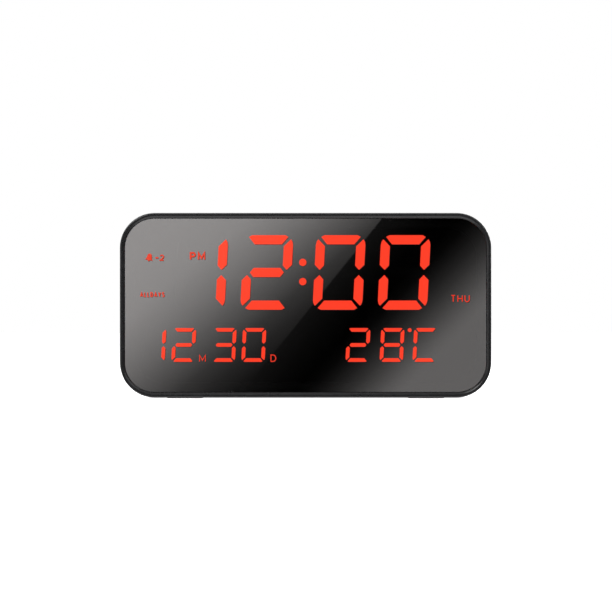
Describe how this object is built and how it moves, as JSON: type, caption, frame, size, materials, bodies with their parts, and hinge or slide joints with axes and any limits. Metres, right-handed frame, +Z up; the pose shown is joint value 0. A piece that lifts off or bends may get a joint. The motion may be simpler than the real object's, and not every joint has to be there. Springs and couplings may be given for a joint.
{
  "type": "alarm clock",
  "caption": "Wide digital alarm clock with a dark half-mirrored face, red lit digits, rounded slim bezel, rear buttons, top snooze bar and battery compartment.",
  "frame": {"origin": "under the middle of the clock, on the surface that its feet stand on", "axes": "+X to the right of someone reading the face, +Y from the face to the back, +Z up"},
  "size_m": [0.16, 0.036, 0.0799],
  "materials": {
    "case_black": "fine satin texture",
    "mirror_lens": "half-mirrored polished acrylic",
    "tape": "foam adhesive",
    "mask_black": "matte",
    "lit_red": "lit translucent",
    "circuit_board": "solder mask",
    "bare_metal": "nickel plated",
    "capacitor_sleeve": "shrink sleeve",
    "sensor_bead": "glossy epoxy",
    "connector_white": "moulded",
    "ribbon": "satin film",
    "button_black": "satin",
    "screw_steel": "black zinc",
    "battery_jacket": "printed film",
    "foot_rubber": "matte"
  },
  "bodies": {
    "clock_body": {"front_bezel": "case_black", "mirror_lens": "mirror_lens", "lens_tape": "tape", "segment_mask": "mask_black", "time_diffuser": "lit_red", "date_diffuser": "lit_red", "temperature_diffuser": "lit_red", "weekday_diffuser": "lit_red", "alarm_legend_diffuser": "lit_red", "display_board": "circuit_board", "controller_chip": "mask_black", "clock_crystal": "bare_metal", "filter_capacitor": "capacitor_sleeve", "temperature_sensor": "sensor_bead", "display_connector": "connector_white", "button_connector": "connector_white", "ribbon_cable": "ribbon", "button_board": "circuit_board", "alarm_switch": "bare_metal", "down_switch": "bare_metal", "up_switch": "bare_metal", "mode_switch": "bare_metal", "set_switch": "bare_metal", "snooze_switch": "bare_metal", "usb_socket": "bare_metal", "board_screw_1": "screw_steel", "board_screw_2": "screw_steel", "buzzer": "mask_black", "rear_housing": "case_black", "battery_1": "battery_jacket", "battery_2": "battery_jacket", "battery_3": "battery_jacket", "positive_terminal": "bare_metal", "negative_terminal": "bare_metal", "left_link_contact": "bare_metal", "right_link_contact": "bare_metal", "front_left_foot": "foot_rubber", "front_right_foot": "foot_rubber", "rear_left_foot": "foot_rubber", "rear_right_foot": "foot_rubber", "case_screw_1": "screw_steel", "case_screw_2": "screw_steel", "case_screw_3": "screw_steel", "case_screw_4": "screw_steel"},
    "battery_door": {"battery_door": "case_black"},
    "snooze": {"snooze_bar": "button_black", "snooze_plunger": "mask_black"},
    "alarm_key": {"alarm_button": "button_black", "alarm_plunger": "mask_black"},
    "down_key": {"down_button": "button_black", "down_plunger": "mask_black"},
    "up_key": {"up_button": "button_black", "up_plunger": "mask_black"},
    "mode_key": {"mode_button": "button_black", "mode_plunger": "mask_black"},
    "set_key": {"set_button": "button_black", "set_plunger": "mask_black"}
  },
  "joints": [
    {"name": "alarm_press", "type": "slide", "parent": "clock_body", "child": "alarm_key", "axis": [0, -1, 0], "range_m": [0, 0.0005], "stiffness_N_per_m": 1500, "springref_m": -0.0002},
    {"name": "down_press", "type": "slide", "parent": "clock_body", "child": "down_key", "axis": [0, -1, 0], "range_m": [0, 0.0005], "stiffness_N_per_m": 1500, "springref_m": -0.0002},
    {"name": "up_press", "type": "slide", "parent": "clock_body", "child": "up_key", "axis": [0, -1, 0], "range_m": [0, 0.0005], "stiffness_N_per_m": 1500, "springref_m": -0.0002},
    {"name": "mode_press", "type": "slide", "parent": "clock_body", "child": "mode_key", "axis": [0, -1, 0], "range_m": [0, 0.0005], "stiffness_N_per_m": 1500, "springref_m": -0.0002},
    {"name": "set_press", "type": "slide", "parent": "clock_body", "child": "set_key", "axis": [0, -1, 0], "range_m": [0, 0.0005], "stiffness_N_per_m": 1500, "springref_m": -0.0002},
    {"name": "snooze_press", "type": "slide", "parent": "clock_body", "child": "snooze", "axis": [0, 0, -1], "range_m": [0, 0.0008], "stiffness_N_per_m": 900, "springref_m": -0.0004},
    {"name": "battery_door_hinge", "type": "hinge", "parent": "clock_body", "child": "battery_door", "pos_m": [0, 0.0161, 0.0059], "axis": [-1, 0, 0], "range_deg": [0, 90]}
  ]
}
